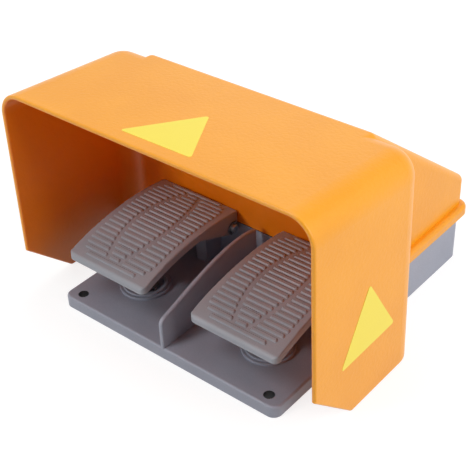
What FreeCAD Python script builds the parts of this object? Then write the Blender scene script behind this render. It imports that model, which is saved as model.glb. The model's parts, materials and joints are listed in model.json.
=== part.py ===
import FreeCAD, Part
import math
import os
from FreeCAD import Vector as V

# Double foot switch: a cast base with a tray behind it, a cast guard cover that is hood and
# housing in one, and two sprung pedals on pins, whose tails push the plungers of two
# snap-action switches inside the housing. Millimetres, +Z up, +Y from the toe to the cable.
# Everything is laid out from the front edge of the base (y = 0), the floor (z = 0) and the
# plane between the pedals (x = 0). save() moves it so that the origin is under the middle.

# Base plate and tray
PLATE_WIDTH = 180.0
PLATE_DEPTH = 100.5
PLATE_THICKNESS = 8.5
PLATE_CORNER_R = 6.0
PLATE_EDGE_R = 1.6
BOLT_SPACING = 158.0
BOLT_SETBACK = 8.1
BOLT_HOLE_R = 3.5
TRAY_DEPTH = 108.2
TRAY_WALL = 4.0
TRAY_FLOOR = 4.0
TRAY_CORNER_R = 8.0
RIM_Z = 35.0
FRONT_LIP_Z = 40.0
FRONT_LIP_THICKNESS = 2.8

# Divider rib between the pedals
RIB_THICKNESS = 3.0
RIB_NOSE_R = 5.0
RIB_EDGE_R = 1.1
RIB_NOSE_Z = 30.2
RIB_PEAK_Z = 48.6
RIB_GAP_TO_WALL = 6.5

# Guard cover: hood, back wall, sloping housing and flange in one casting
COVER_WALL = 3.0
HOOD_OVERHANG = 2.6
HOOD_HALF_WIDTH = 120.9
HOOD_HEIGHT = 155.0
HOOD_FALL = 0.0766
HOOD_LEAN = 0.014
HOOD_BEND_R = 17.5
HOOD_FLOOR_GAP = 1.0
HOOD_CHAMFER = 33.5
HOOD_EDGE_R = 1.2
CUTOUT_CLEARANCE = 1.0
RIDGE_Y = 98.0
HOUSING_HALF_WIDTH = 89.0
HOUSING_REAR_Z = 62.0
HOUSING_REAR_SETBACK = 1.6
HOUSING_CORNER_R = 5.0
HOUSING_ROOT = 40.0
FLANGE_HEIGHT = 7.3
FLANGE_LAP = 0.4
FLANGE_OVERHANG = 3.6
FLANGE_EDGE_R = 3.0

# Seals and cover screws
GASKET_THICKNESS = 1.5
LIP_SEAL_THICKNESS = 0.8
SEAL_CLEARANCE = 0.2
COVER_SCREW_X = 80.0
COVER_SCREW_INSET = 8.7
COVER_SCREW_R = 2.5
COVER_SCREW_HEAD_R = 4.25
COVER_SCREW_HEAD_H = 5.0
COVER_SCREW_LENGTH = 44.0
COVER_SCREW_RECESS = 6.0
COLUMN_R = 6.0

COVER_BOSS_R = 5.5
COVER_BOSS_CAP = 6.0
COVER_WEB = 7.0
REBATE_CLEARANCE = 0.3

# Pedals
PEDAL_SPACING = 105.4
PEDAL_WIDTH = 67.0
PEDAL_SETBACK = 6.2
PEDAL_WALL_GAP = 1.0
PEDAL_CORNER_R = 4.0
PEDAL_EDGE_R = 0.8
PEDAL_TOP_THICKNESS = 3.0
PEDAL_SIDE_THICKNESS = 2.8
PEDAL_SKIRT_DEPTH = 5.2
PEDAL_NOSE_DEPTH = 4.2
PEDAL_NOSE_R = 3.6
PEDAL_NOSE_WALL = 4.1
CROWN_R = 186.5
CROWN_RISE = 12.9
CROWN_SETBACK = 23.3
SKIRT_DROP_ANGLE = 24.4

# Raised bars on the pedals
BAR_ROWS = 21
BAR_PITCH = 4.23
BAR_WIDTH = 3.1
BAR_HEIGHT = 0.9
BAR_DRAFT = 0.7
BAR_SUNK = 0.5
BAR_REAR_MARGIN = 2.5
TREAD_HALF_WIDTH = 29.0
TREAD_CORNER_R = 14.0
TREAD_GAP = 2.8
TREAD_GAP_BULGE = 13.9
TREAD_GAP_R = 91.7

# Hinges
PIN_R = 3.0
PIN_Z = 39.6
PIN_SETBACK = 6.3
PIN_OVERHANG = 2.7
PIN_RUNNING_CLEARANCE = 0.06
PIN_SEAT_CLEARANCE = 0.02
EAR_R = 5.4
EAR_BOSS_LENGTH = 7.0
EAR_BOSS_STEP = 0.5
CHEEK_R = 6.2
CHEEK_THICKNESS = 9.5
CHEEK_GAP = 15.0
CHEEK_FOOT = 9.6
CIRCLIP_THICKNESS = 0.8
CIRCLIP_R = 4.8
CIRCLIP_GROOVE_DEPTH = 0.4

# Return springs, their rings on the plate and cups under the pedals
SPRING_ARM = 53.1
SPRING_MEAN_R = 7.6
SPRING_WIRE_R = 1.0
SPRING_TURNS = 6
SPRING_END_PITCH = 2.6
SPRING_GRIND = 0.5
RING_R = 17.5
RING_STEP = 2.0
RING_BORE_R = 13.2
RING_HEIGHT = 3.0
RING_POCKET = 2.0
RING_EDGE_R = 0.6
STUB_R = 5.6
STUB_HEIGHT = 6.0
CUP_R = 14.5
CUP_WALL = 2.1
CUP_DROP = 10.0

# Pedal tails and their adjusting screws
TAIL_WIDTH = 12.0
TAIL_DEPTH = 20.6
TAIL_THICKNESS = 8.0
TAIL_REACH = 34.7
TAIL_PAD_R = 7.5
TAIL_LEG = 9.0
TAIL_SLOT_BELOW = 3.0
TAIL_SLOT_ABOVE = 6.0
HUB_R = 5.8
ADJUSTER_R = 3.0
ADJUSTER_HEX = 10.0
ADJUSTER_HEAD_H = 4.0
LOCK_NUT_H = 5.0
THREAD_CLEARANCE = 0.05
BUMPER_R = 6.0
BUMPER_REACH = 21.0
BUMPER_GAP = 0.1

# Switches on their bracket
SWITCH_LENGTH = 49.2
SWITCH_WIDTH = 17.4
SWITCH_HEIGHT = 24.2
SWITCH_COLLAR_R = 6.5
SWITCH_COLLAR_H = 3.2
SWITCH_HOLE_SPACING = 25.4
SWITCH_HOLE_Z = 5.5
PLUNGER_R = 3.0
PLUNGER_REST_GAP = 0.3
PLUNGER_TRAVEL = 5.0
PLUNGER_SPARE = 0.6
PLUNGER_GUIDE = 6.0
SCREW_R = 2.0
SCREW_HEAD_R = 4.0
SCREW_HEAD_H = 2.4
NUT_HEX = 7.0
NUT_H = 3.2
BRACKET_THICKNESS = 2.0
BRACKET_HALF_WIDTH = 79.0
BRACKET_FOOT = 22.0
BRACKET_BEND_R = 2.5
BOSS_R = 6.0
BOSS_HEIGHT = 3.0
BRACKET_SCREW_X = 60.0
BRACKET_WINDOW_GAP = 1.5
TERMINAL_WIDTH = 6.4
TERMINAL_THICKNESS = 0.9
TERMINAL_LENGTH = 8.0
TERMINAL_SPACING = 17.0

# Terminal block, earth screw and cable gland
BLOCK_LENGTH = 62.0
BLOCK_WIDTH = 18.0
BLOCK_HEIGHT = 15.0
BLOCK_WAYS = 6
BLOCK_WAY_PITCH = 8.0
BLOCK_SETBACK = 70.0
WIRE_HOLE_R = 2.4
CLAMP_SCREW_R = 2.1
EARTH_X = 62.0
EARTH_SETBACK = 78.0
EARTH_WASHER_H = 1.0
GLAND_Z = 18.5
GLAND_THREAD_R = 10.0
GLAND_HEX = 24.0
GLAND_FLANGE = 5.0
GLAND_STUB = 13.5
GLAND_NECK_R = 8.6
GLAND_NECK = 6.0
GLAND_NUT_LENGTH = 11.0
GLAND_LOCKNUT_H = 4.5
GLAND_BOSS_R = 14.5
GLAND_BOSS_PROUD = 1.6
GLAND_WALL = 2.2
SEAL_BORE_R = 4.2

# How far a cutting block reaches past what it cuts, and how far pieces to be joined overlap
BEYOND = 10.0
OVERLAP = 0.1

# Places that follow from the sizes above
WALL_Y = PLATE_DEPTH
TRAY_REAR_Y = WALL_Y + TRAY_DEPTH
HALF_PLATE = PLATE_WIDTH / 2
HOOD_BACK_Y = WALL_Y + COVER_WALL
SEAT_Z = RIM_Z + GASKET_THICKNESS
FLANGE_Z = RIM_Z - FLANGE_LAP
HOUSING_REAR_Y = TRAY_REAR_Y + HOUSING_REAR_SETBACK
PIN_Y = WALL_Y - PIN_SETBACK
PEDAL_X = PEDAL_SPACING / 2
HALF_PEDAL = PEDAL_WIDTH / 2
PEDAL_REAR_Y = WALL_Y - PEDAL_WALL_GAP
CROWN_Y = PIN_Y - CROWN_SETBACK
SPRING_Y = PIN_Y - SPRING_ARM
RING_TOP_Z = PLATE_THICKNESS + RING_HEIGHT
POCKET_Z = PLATE_THICKNESS - RING_POCKET
CUP_Z = RING_TOP_Z + CUP_DROP
TAIL_Z = PIN_Z - TAIL_DEPTH
TAIL_TOP_Z = TAIL_Z + TAIL_THICKNESS
ADJUSTER_Y = PIN_Y + TAIL_REACH
ADJUSTER_TOP_Z = TAIL_TOP_Z + LOCK_NUT_H + ADJUSTER_HEAD_H
PLUNGER_Z = ADJUSTER_TOP_Z + PLUNGER_REST_GAP
COLLAR_Z = PLUNGER_Z + PLUNGER_TRAVEL + PLUNGER_SPARE
SWITCH_Z = COLLAR_Z + SWITCH_COLLAR_H
BRACKET_Y = ADJUSTER_Y + SWITCH_WIDTH / 2
BOSS_Z = TRAY_FLOOR + BOSS_HEIGHT
BRACKET_SCREW_Y = BRACKET_Y + BRACKET_FOOT * 0.6
BLOCK_Y = WALL_Y + BLOCK_SETBACK
EARTH_Y = WALL_Y + EARTH_SETBACK
COVER_SCREW_YS = (WALL_Y + TRAY_WALL + COVER_SCREW_INSET - 1.2, TRAY_REAR_Y - COVER_SCREW_INSET)
GLAND_FACE_Y = TRAY_REAR_Y + GLAND_BOSS_PROUD
GLAND_NECK_Y = GLAND_FACE_Y + GLAND_FLANGE
GLAND_END_Y = GLAND_NECK_Y + 1.0 + GLAND_NUT_LENGTH
MIDDLE_Y = (GLAND_END_Y - HOOD_OVERHANG) / 2
SIDES = (("left", -1), ("right", 1))


def box(x0, x1, y0, y1, z0, z1):
    return Part.makeBox(x1 - x0, y1 - y0, z1 - z0, V(x0, y0, z0))


def bar(radius, start, end):
    """Round bar between two points."""
    axis = end - start
    return Part.makeCylinder(radius, axis.Length, start, axis)


def post(radius, x, y, z0, z1):
    """Upright round bar."""
    return bar(radius, V(x, y, z0), V(x, y, z1))


def hexagon(across_flats, start, end):
    """Hexagonal bar along Y or Z between two points."""
    axis = end - start
    radius = across_flats / math.sqrt(3)
    corners = []
    for k in range(7):
        turn = math.radians(60 * k)
        side = V(radius * math.cos(turn), 0, 0)
        rise = radius * math.sin(turn)
        along_z = abs(axis.z) > abs(axis.y)
        corners.append(start + side + (V(0, rise, 0) if along_z else V(0, 0, rise)))
    return Part.Face(Part.makePolygon(corners)).extrude(axis)


def outline(runs):
    """Closed outline in the YZ plane: a run of two points is a line, of three an arc."""
    edges = []
    for run in runs:
        points = [V(0, y, z) for y, z in run]
        if len(points) == 3:
            edges.append(Part.Arc(*points).toShape())
        else:
            edges.append(Part.makeLine(*points))
    return Part.Wire(edges)


def across(wire, x0, x1):
    """Solid that a YZ outline sweeps from x0 to x1."""
    face = Part.Face(wire)
    face.translate(V(x0, 0, 0))
    return face.extrude(V(x1 - x0, 0, 0))


def polygon(points):
    return Part.makePolygon(points + points[:1])


def rounded_plan(half_width, y0, y1, radius, z0, z1):
    """Upright block with all four corners rounded in plan."""
    block = box(-half_width, half_width, y0, y1, z0, z1)
    return block.makeFillet(radius, pick(block, lambda b: b.ZLength > z1 - z0 - 0.1))


def pick(shape, wanted):
    """Edges whose bounding box passes a test."""
    return [edge for edge in shape.Edges if wanted(edge.BoundBox)]


def fuse(shapes):
    return shapes[0].multiFuse(shapes[1:]).removeSplitter()


def cut_all(shape, tools):
    return shape.cut(Part.makeCompound(tools)).removeSplitter()


def save(name, shape):
    """Write one named piece, with the origin under the middle of the whole."""
    moved = shape.copy()
    moved.translate(V(0, -MIDDLE_Y, 0))
    moved.exportStep("parts/" + name + ".step")
    print(name, len(moved.Solids), "solids, valid", moved.isValid())


def at_pedal(shape, side):
    """Copy of a piece drawn at x = 0, moved to the left or right pedal."""
    moved = shape.copy()
    moved.translate(V(side * PEDAL_X, 0, 0))
    return moved


def tray_block(inset, z0, z1):
    """Block of the tray's outline, drawn in by the wall for its hollow."""
    half = HALF_PLATE - inset
    block = box(-half, half, WALL_Y + inset, TRAY_REAR_Y - inset, z0, z1)
    corners = pick(block, lambda b: b.ZLength > z1 - z0 - 0.1 and b.YMin > TRAY_REAR_Y - inset - 1)
    return block.makeFillet(TRAY_CORNER_R - inset, corners)


def divider_rib():
    """Upright rib between the pedals, its top a long curve from toe to wall."""
    rear = WALL_Y - RIB_GAP_TO_WALL
    rise = RIB_PEAK_Z - RIB_NOSE_Z
    shares = ((0.0, 0.0), (0.2, 0.315), (0.62, 0.902), (0.80, 1.0), (1.0, 0.902))
    crest = [V(0, rear * along, RIB_NOSE_Z + rise * up) for along, up in shares]
    curve = Part.BSplineCurve()
    curve.interpolate(crest)
    low = PLATE_THICKNESS - 1
    sides = [
        Part.makeLine(crest[-1], V(0, rear, low)),
        Part.makeLine(V(0, rear, low), V(0, 0, low)),
        Part.makeLine(V(0, 0, low), crest[0]),
    ]
    wire = Part.Wire([curve.toShape()] + sides)
    rib = across(wire, -RIB_THICKNESS / 2, RIB_THICKNESS / 2)
    nose = pick(rib, lambda b: b.YMax < 0.1 and b.ZMin > RIB_NOSE_Z - 0.1 and b.XLength > 1)
    rib = rib.makeFillet(RIB_NOSE_R, nose)
    long_edges = pick(rib, lambda b: b.XLength < 0.1 and b.YMin < rear - 1 and b.ZMax > low + 1)
    return rib.makeFillet(RIB_EDGE_R, long_edges)


def hinge_cheeks():
    """Two upright cheeks that carry a pedal's pin, with the tail's gap between them."""
    foot_y = PIN_Y - CHEEK_FOOT
    low = PLATE_THICKNESS - 1
    slant = math.radians(20)
    shoulder = (PIN_Y - CHEEK_R * math.cos(slant), PIN_Z + CHEEK_R * math.sin(slant))
    side = outline([
        ((foot_y, low), (foot_y, PIN_Z - CHEEK_FOOT)),
        ((foot_y, PIN_Z - CHEEK_FOOT), shoulder),
        (shoulder, (PIN_Y, PIN_Z + CHEEK_R), (PIN_Y + CHEEK_R, PIN_Z)),
        ((PIN_Y + CHEEK_R, PIN_Z), (WALL_Y + 1, PIN_Z - 1)),
        ((WALL_Y + 1, PIN_Z - 1), (WALL_Y + 1, low)),
        ((WALL_Y + 1, low), (foot_y, low)),
    ])
    cheeks = []
    for hand in (-1, 1):
        inner = hand * CHEEK_GAP / 2
        outer = hand * (CHEEK_GAP / 2 + CHEEK_THICKNESS)
        cheeks.append(across(side, min(inner, outer), max(inner, outer)))
    return cheeks


def spring_ring():
    """Stepped ring on the plate that a return spring stands in."""
    steps = []
    for radius, top in ((RING_R, RING_TOP_Z - RING_HEIGHT * 0.45), (RING_R - RING_STEP, RING_TOP_Z)):
        step = post(radius, 0, SPRING_Y, PLATE_THICKNESS - 1, top)
        steps.append(step.makeFillet(RING_EDGE_R, pick(step, lambda b: b.ZMin > PLATE_THICKNESS)))
    return steps[0].fuse(steps[1])


def base_casting():
    """Pedal plate, divider, hinge cheeks and tray in one casting."""
    plate = box(-HALF_PLATE, HALF_PLATE, 0, WALL_Y + TRAY_WALL, 0, PLATE_THICKNESS)
    corners = pick(plate, lambda b: b.ZLength > PLATE_THICKNESS - 0.1 and b.YMax < 1)
    plate = plate.makeFillet(PLATE_CORNER_R, corners)
    upper = pick(plate, lambda b: b.ZMin > PLATE_THICKNESS - 0.1 and b.YMin < WALL_Y)
    plate = plate.makeFillet(PLATE_EDGE_R, upper)
    tray = tray_block(0, 0, RIM_Z).cut(tray_block(TRAY_WALL, TRAY_FLOOR, RIM_Z + 5))
    lip = box(-HALF_PLATE, HALF_PLATE, WALL_Y, WALL_Y + FRONT_LIP_THICKNESS, RIM_Z - 3, FRONT_LIP_Z)
    gland_boss = bar(GLAND_BOSS_R, V(0, TRAY_REAR_Y - 2, GLAND_Z), V(0, GLAND_FACE_Y, GLAND_Z))
    solids = [plate, tray, lip, divider_rib(), gland_boss]
    holes = [along_gland(GLAND_THREAD_R + THREAD_CLEARANCE, TRAY_REAR_Y - BEYOND, GLAND_FACE_Y + 1)]
    for _, side in SIDES:
        x = side * PEDAL_X
        solids += [at_pedal(cheek, side) for cheek in hinge_cheeks()]
        solids.append(at_pedal(spring_ring(), side))
        seat = post(RING_BORE_R, x, SPRING_Y, POCKET_Z, RING_TOP_Z + 1)
        holes.append(seat.cut(post(STUB_R, x, SPRING_Y, POCKET_Z, POCKET_Z + STUB_HEIGHT)))
        holes.append(post(BOLT_HOLE_R, side * BOLT_SPACING / 2, BOLT_SETBACK, -1, PLATE_THICKNESS + 1))
        pin_hole = PIN_R + PIN_SEAT_CLEARANCE
        reach = CHEEK_GAP / 2 + CHEEK_THICKNESS + 1
        holes.append(bar(pin_hole, V(x - reach, PIN_Y, PIN_Z), V(x + reach, PIN_Y, PIN_Z)))
        half_slot = CHEEK_GAP / 2
        slot = (TAIL_Z - TAIL_SLOT_BELOW, TAIL_TOP_Z + TAIL_SLOT_ABOVE)
        holes.append(box(x - half_slot, x + half_slot, WALL_Y - 1, WALL_Y + TRAY_WALL + 1, *slot))
        for y in COVER_SCREW_YS:
            place = side * COVER_SCREW_X
            wall = side * (HALF_PLATE - TRAY_WALL / 2)
            solids.append(post(COLUMN_R, place, y, 1, RIM_Z))
            solids.append(box(min(place, wall), max(place, wall), y - 4, y + 4, 1, RIM_Z))
            holes.append(post(COVER_SCREW_HEAD_R + 0.6, place, y, -1, COVER_SCREW_RECESS))
            holes.append(post(COVER_SCREW_R + 0.3, place, y, 0, RIM_Z + 1))
        boss_x = side * BRACKET_SCREW_X
        solids.append(post(BOSS_R, boss_x, BRACKET_SCREW_Y, 1, BOSS_Z))
        holes.append(post(SCREW_R + THREAD_CLEARANCE, boss_x, BRACKET_SCREW_Y, 1.5, BOSS_Z + 1))
        ear_x = side * (BLOCK_LENGTH / 2 - 4)
        solids.append(post(BOSS_R, ear_x, BLOCK_Y, 1, BOSS_Z))
        holes.append(post(SCREW_R + THREAD_CLEARANCE, ear_x, BLOCK_Y, 1.5, BOSS_Z + 1))
    solids.append(post(BOSS_R, EARTH_X, EARTH_Y, 1, BOSS_Z))
    holes.append(post(SCREW_R + THREAD_CLEARANCE, EARTH_X, EARTH_Y, 1.5, BOSS_Z + 1))
    return cut_all(fuse(solids), holes)


def hood_top(y):
    """Height of the hood's outer top at depth y."""
    return HOOD_HEIGHT - HOOD_FALL * (y + HOOD_OVERHANG)


def hood_block(inset, front, back):
    """Hood as a block: top falling to the rear, sides leaning out to the floor, bends rounded."""
    low = -BEYOND
    top = hood_top(front) - inset
    low_half = HOOD_HALF_WIDTH - HOOD_LEAN * low - inset
    top_half = HOOD_HALF_WIDTH - HOOD_LEAN * top - inset
    corners = [
        V(-low_half, front, low), V(-top_half, front, top),
        V(top_half, front, top), V(low_half, front, low),
    ]
    depth = back - front
    block = Part.Face(polygon(corners)).extrude(V(0, depth, -HOOD_FALL * depth))
    fall = HOOD_FALL * depth
    bends = pick(block, lambda b: b.YLength > depth - 0.1 and b.ZMin > top - fall - 1)
    rear = pick(block, lambda b: b.YMin > back - 0.01 and b.ZMax > 0)
    return block.makeFillet(HOOD_BEND_R - inset, bends + rear)


def housing_block(inset):
    """Housing behind the hood: it carries on the hood's top to the ridge, then slopes down."""
    front = WALL_Y - HOUSING_ROOT
    low = FLANGE_Z if inset == 0 else FLANGE_Z - BEYOND
    slope = (hood_top(RIDGE_Y) - HOUSING_REAR_Z) / (HOUSING_REAR_Y - RIDGE_Y)
    drop = inset * math.hypot(1, slope)
    ridge_y = RIDGE_Y + (inset - drop) / (slope - HOOD_FALL)
    rear = HOUSING_REAR_Y - inset
    rear_z = HOUSING_REAR_Z + slope * inset - drop
    side = polygon([
        V(0, front, low), V(0, front, hood_top(front) - inset),
        V(0, ridge_y, hood_top(ridge_y) - inset), V(0, rear, rear_z), V(0, rear, low),
    ])
    half = HOUSING_HALF_WIDTH - inset
    block = across(side, -half, half)
    upright = pick(block, lambda b: b.YMin > rear - 1 and b.ZLength > 10)
    soft = pick(block, lambda b: b.ZMin > rear_z - 2 and b.YMax > front + 1)
    if inset > 0:
        return block.makeFillet(HOUSING_CORNER_R - inset, upright)
    return block.makeFillet(HOUSING_CORNER_R, upright + soft)


def housing_hollow():
    """Space inside the housing, behind the back wall."""
    block = housing_block(COVER_WALL)
    wide = HOUSING_HALF_WIDTH + BEYOND
    return block.common(box(-wide, wide, HOOD_BACK_Y, HOUSING_REAR_Y, 0, HOOD_HEIGHT))


def flange_ring():
    """Thick rim round the housing's foot, its upper edge rounded."""
    half = HALF_PLATE + FLANGE_OVERHANG
    rear = TRAY_REAR_Y + FLANGE_OVERHANG + HOUSING_REAR_SETBACK
    top = FLANGE_Z + FLANGE_HEIGHT
    ring = box(-half, half, WALL_Y + 1, rear, FLANGE_Z, top)
    upright = pick(ring, lambda b: b.ZLength > FLANGE_HEIGHT - 0.1 and b.YMin > rear - 1)
    ring = ring.makeFillet(HOUSING_CORNER_R + FLANGE_OVERHANG, upright)
    upper = pick(ring, lambda b: b.ZMin > top - 0.1 and b.YMax > WALL_Y + 2)
    return ring.makeFillet(FLANGE_EDGE_R, upper)


def guard_cover():
    """Hood, back wall, sloping housing and flange in one thin-walled casting."""
    outer = fuse([
        hood_block(0, -HOOD_OVERHANG, HOOD_BACK_Y),
        housing_block(0),
        flange_ring(),
    ])
    wide = HOOD_HALF_WIDTH + BEYOND
    front = -HOOD_OVERHANG - BEYOND
    rebate_half = HALF_PLATE + REBATE_CLEARANCE
    cut_half = HALF_PLATE + CUTOUT_CLEARANCE
    slope = HOOD_CHAMFER / (HOOD_CHAMFER + HOOD_OVERHANG)
    chamfer = polygon([
        V(0, front, HOOD_CHAMFER + slope * BEYOND),
        V(0, HOOD_CHAMFER + BEYOND / slope, -BEYOND),
        V(0, front, -BEYOND),
    ])
    shell = cut_all(outer, [
        hood_block(COVER_WALL, front, WALL_Y),
        housing_hollow(),
        box(-wide, wide, front, HOOD_BACK_Y + BEYOND, -BEYOND * 2, HOOD_FLOOR_GAP),
        box(-cut_half, cut_half, WALL_Y - BEYOND, HOOD_BACK_Y,
            -BEYOND, FRONT_LIP_Z + LIP_SEAL_THICKNESS + OVERLAP),
        box(-rebate_half, rebate_half, HOOD_BACK_Y - OVERLAP, TRAY_REAR_Y + REBATE_CLEARANCE,
            FLANGE_Z - 1, SEAT_Z),
        across(chamfer, -wide, wide),
    ])
    rim = pick(shell, lambda b: b.YMin < -HOOD_OVERHANG + 0.01 and b.ZMax > HOOD_CHAMFER - 1)
    rim = [edge for edge in rim if edge.BoundBox.ZLength > 5 or edge.BoundBox.ZMin > HOOD_CHAMFER + 1]
    shell = shell.makeFillet(HOOD_EDGE_R, rim)
    bosses = []
    holes = []
    depth = COVER_SCREW_LENGTH + COVER_SCREW_RECESS - RIM_Z
    top = SEAT_Z + depth + COVER_BOSS_CAP
    for _, side in SIDES:
        for y in COVER_SCREW_YS:
            place = side * COVER_SCREW_X
            wall = side * (HOUSING_HALF_WIDTH - COVER_WALL / 2)
            bosses.append(post(COVER_BOSS_R, place, y, RIM_Z + OVERLAP, top))
            bosses.append(box(min(place, wall), max(place, wall),
                              y - COVER_WEB / 2, y + COVER_WEB / 2, SEAT_Z, top))
            holes.append(post(COVER_SCREW_R + THREAD_CLEARANCE, place, y, RIM_Z, top - COVER_WALL))
    return cut_all(fuse([shell] + bosses), holes)


def cover_gasket():
    """Flat rubber seal on the tray's rim, open at the front wall."""
    front = HOOD_BACK_Y + SEAL_CLEARANCE
    outer = box(-HALF_PLATE + SEAL_CLEARANCE, HALF_PLATE - SEAL_CLEARANCE,
                front, TRAY_REAR_Y - SEAL_CLEARANCE, RIM_Z, SEAT_Z)
    corners = pick(outer, lambda b: b.ZLength > 1 and b.YMin > TRAY_REAR_Y - 2)
    outer = outer.makeFillet(TRAY_CORNER_R, corners)
    half = HALF_PLATE - COVER_WALL
    inner = box(-half, half, front - 1, TRAY_REAR_Y - COVER_WALL, RIM_Z - 1, SEAT_Z + 1)
    corners = pick(inner, lambda b: b.ZLength > 3 and b.YMin > TRAY_REAR_Y - 5)
    return outer.cut(inner.makeFillet(TRAY_CORNER_R - COVER_WALL, corners))


def lip_seal():
    """Rubber strip between the front wall's lip and the cover's back wall."""
    front = WALL_Y + SEAL_CLEARANCE * 2
    rear = WALL_Y + FRONT_LIP_THICKNESS - SEAL_CLEARANCE
    half = HALF_PLATE - 1
    return box(-half, half, front, rear, FRONT_LIP_Z, FRONT_LIP_Z + LIP_SEAL_THICKNESS)


def cover_screws():
    """Four socket screws, up through the tray's columns into the cover's bosses."""
    screws = []
    for _, side in SIDES:
        for y in COVER_SCREW_YS:
            x = side * COVER_SCREW_X
            seat = COVER_SCREW_RECESS
            head = post(COVER_SCREW_HEAD_R, x, y, seat - COVER_SCREW_HEAD_H, seat)
            socket = hexagon(4.0, V(x, y, seat - COVER_SCREW_HEAD_H), V(x, y, seat - 2.5))
            shank = post(COVER_SCREW_R, x, y, seat - 0.5, seat + COVER_SCREW_LENGTH)
            screws.append(head.cut(socket).fuse(shank).removeSplitter())
    return Part.makeCompound(screws)


def crown_z(y, drop=0.0):
    """Height of the pedal's crowned top at depth y, or of a surface that lies drop below it."""
    radius = CROWN_R - drop
    return PIN_Z + CROWN_RISE - CROWN_R + math.sqrt(radius * radius - (y - CROWN_Y) ** 2)


def crown_arc(y0, y1, drop=0.0):
    """Three points of the crown's arc, for outline()."""
    middle = (y0 + y1) / 2
    return ((y0, crown_z(y0, drop)), (middle, crown_z(middle, drop)), (y1, crown_z(y1, drop)))


def round_pin(radius, angle):
    """Point of the YZ plane on a circle round the hinge pin, its angle up from +Y."""
    return (PIN_Y + radius * math.cos(angle), PIN_Z + radius * math.sin(angle))


def pedal_shell():
    """Crowned pedal plate with shallow skirts that deepen into the hinge ears."""
    front = PEDAL_SETBACK
    rear = PEDAL_REAR_Y
    slant = math.radians(SKIRT_DROP_ANGLE)
    ear_low = round_pin(EAR_R, -math.pi / 2 - slant)
    ear_mid = round_pin(EAR_R, -math.radians(40))
    ear_back = round_pin(EAR_R, math.radians(20))
    turn_y = PIN_Y - (PIN_Y - front) * 0.37
    skirt = crown_arc(front + 4, turn_y, PEDAL_SKIRT_DEPTH)
    nose_low = (front, crown_z(front) - PEDAL_NOSE_DEPTH)
    side = outline([
        crown_arc(front, rear),
        ((rear, crown_z(rear)), ear_back),
        (ear_back, ear_mid, ear_low),
        (ear_low, skirt[2]),
        skirt[::-1],
        (skirt[0], nose_low),
        (nose_low, (front, crown_z(front))),
    ])
    solid = across(side, -HALF_PEDAL, HALF_PEDAL)
    axis_z = PIN_Z + CROWN_RISE - CROWN_R
    drum = bar(CROWN_R, V(-HALF_PEDAL, CROWN_Y, axis_z), V(HALF_PEDAL, CROWN_Y, axis_z))
    drum = drum.makeFillet(PEDAL_EDGE_R, pick(drum, lambda b: b.XLength < 0.1))
    top = crown_z(front)
    nose = pick(solid, lambda b: b.YMax < front + 0.1 and b.ZMin > top - 0.1 and b.XLength > HALF_PEDAL)
    solid = solid.makeFillet(PEDAL_NOSE_R, nose)
    plan = rounded_plan(HALF_PEDAL, front, rear + 5, PEDAL_CORNER_R, TAIL_Z - 10, PIN_Z + 40)
    solid = solid.common(drum).common(plan)
    inner_front = front + PEDAL_NOSE_WALL
    under = crown_arc(inner_front, rear + 5, PEDAL_TOP_THICKNESS)
    hollow = outline([
        under,
        (under[2], (rear + 5, 0)),
        ((rear + 5, 0), (inner_front, 0)),
        ((inner_front, 0), under[0]),
    ])
    half = HALF_PEDAL - PEDAL_SIDE_THICKNESS
    return solid.cut(across(hollow, -half, half))


def pedal_ribs():
    """Stiffening ribs under the pedal, two along it and two across."""
    ribs = []
    depth = PEDAL_SKIRT_DEPTH
    root = PEDAL_TOP_THICKNESS - 0.5
    long_start = PEDAL_SETBACK + 4
    long_end = PIN_Y - CHEEK_FOOT - 4
    long_outline = outline([
        crown_arc(long_start, long_end, root),
        ((long_end, crown_z(long_end, root)), (long_end, crown_z(long_end, depth))),
        crown_arc(long_start, long_end, depth)[::-1],
        ((long_start, crown_z(long_start, depth)), (long_start, crown_z(long_start, root))),
    ])
    for x in (-HALF_PEDAL * 0.6, HALF_PEDAL * 0.6):
        ribs.append(across(long_outline, x - 1, x + 1))
    half = HALF_PEDAL - PEDAL_SIDE_THICKNESS / 2
    for y in (SPRING_Y - CUP_R - 8, SPRING_Y + CUP_R + 8):
        low = crown_z(y, depth)
        high = crown_z(y, root)
        ribs.append(box(-half, half, y - 1, y + 1, low, high))
    return ribs


def bar_spans(row, y, first, last):
    """Start and end across the pedal of each bar in a row: one at both ends, else three."""
    edge = min(y - first, last - y) + BAR_WIDTH / 2
    dip = max(TREAD_CORNER_R - edge, 0)
    reach = TREAD_HALF_WIDTH - TREAD_CORNER_R + math.sqrt(TREAD_CORNER_R ** 2 - dip ** 2)
    if row in (0, BAR_ROWS - 1):
        return [(-reach, reach)]
    middle = (first + last) / 2
    gap = TREAD_GAP_BULGE - TREAD_GAP_R + math.sqrt(TREAD_GAP_R ** 2 - (y - middle) ** 2)
    half = TREAD_GAP / 2
    return [(-reach, -gap - half), (half - gap, gap - half), (gap + half, reach)]


def bar_outline(x0, x1, inset, z):
    """Level outline of a bar with its corners cut off, drawn in by an inset."""
    left = x0 + inset
    right = x1 - inset
    half = BAR_WIDTH / 2 - inset
    cut = BAR_DRAFT * 0.9
    return [
        V(left, -half + cut, z), V(left + cut, -half, z), V(right - cut, -half, z), V(right, -half + cut, z),
        V(right, half - cut, z), V(right - cut, half, z), V(left + cut, half, z), V(left, half - cut, z),
    ]


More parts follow.
